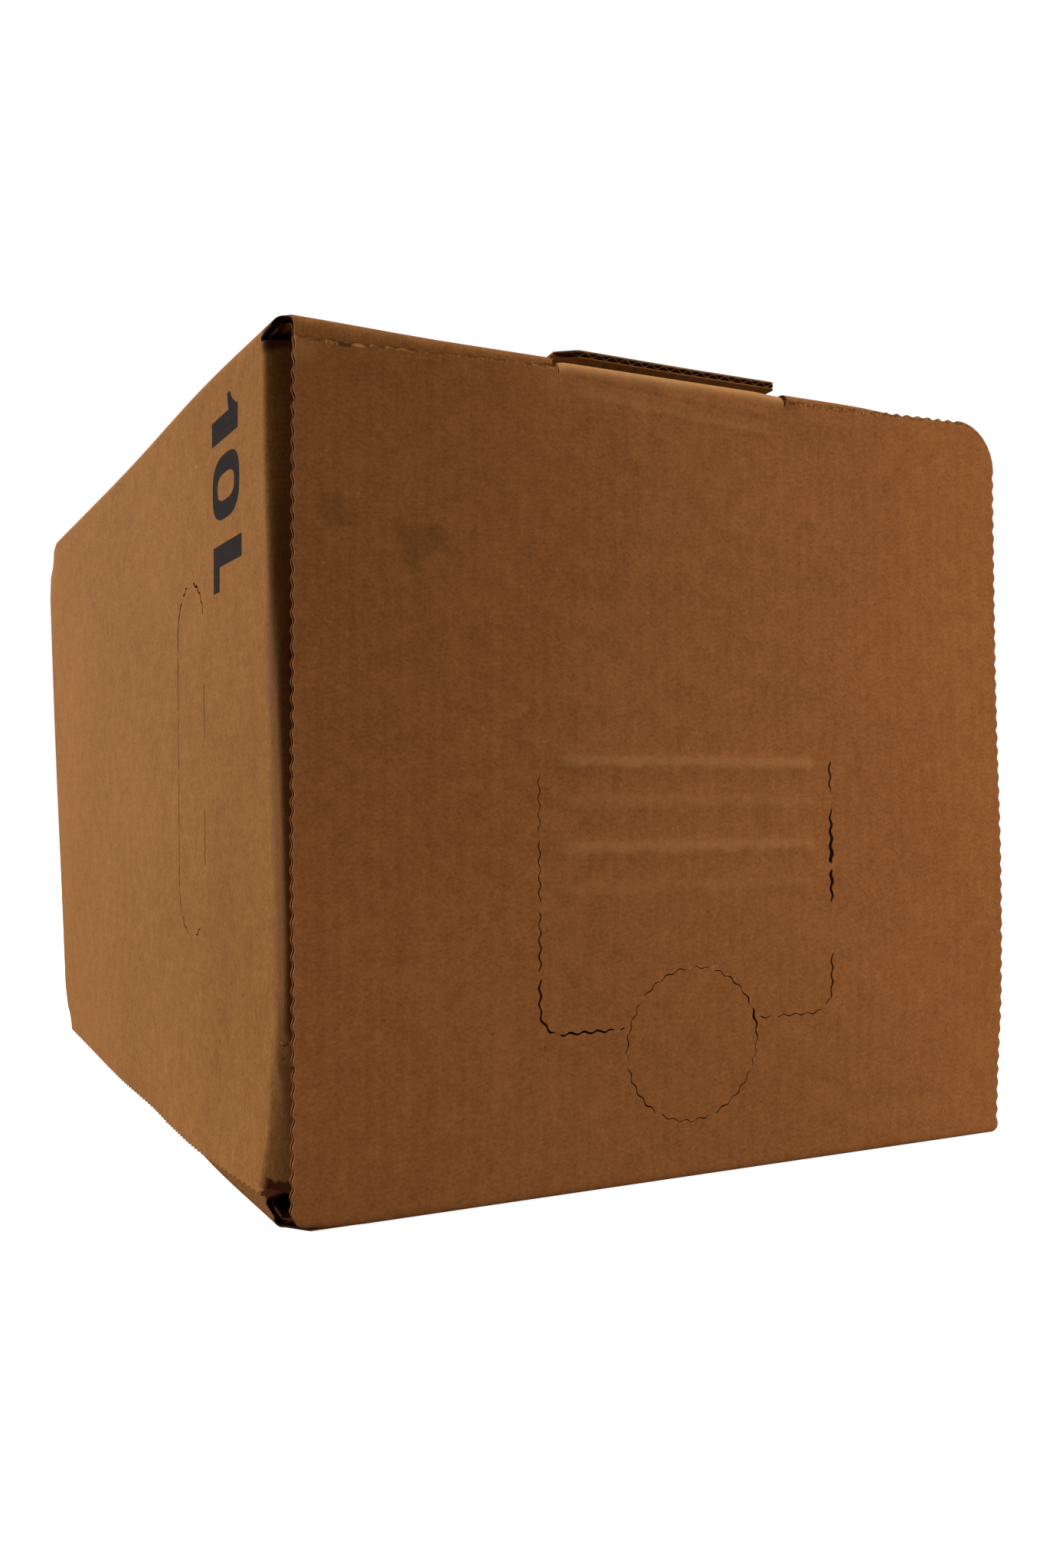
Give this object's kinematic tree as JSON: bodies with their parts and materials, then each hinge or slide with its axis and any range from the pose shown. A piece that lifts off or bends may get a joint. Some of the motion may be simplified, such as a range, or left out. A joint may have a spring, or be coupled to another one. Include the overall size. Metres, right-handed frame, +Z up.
{
  "type": "bag in box carton",
  "caption": "Empty corrugated carton for a bag of liquid, with a hinged front lid, tuck tab, perforated tap panel and perforated hand hole.",
  "frame": {"origin": "middle of the footprint, on the surface the carton stands on", "axes": "+Z up, -Y towards the front lid, -X towards the panel with the hand hole"},
  "size_m": [0.204, 0.292, 0.1962],
  "materials": {
    "kraft_board": "matte",
    "kraft_board_lid": "matte"
  },
  "bodies": {
    "carton": {"carton_body": "kraft_board"},
    "lid": {"front_lid": "kraft_board_lid"}
  },
  "joints": [
    {"name": "lid_fold", "type": "hinge", "parent": "carton", "child": "lid", "pos_m": [0, -0.146, 0], "axis": [1, 0, 0], "range_deg": [0, 90]}
  ]
}
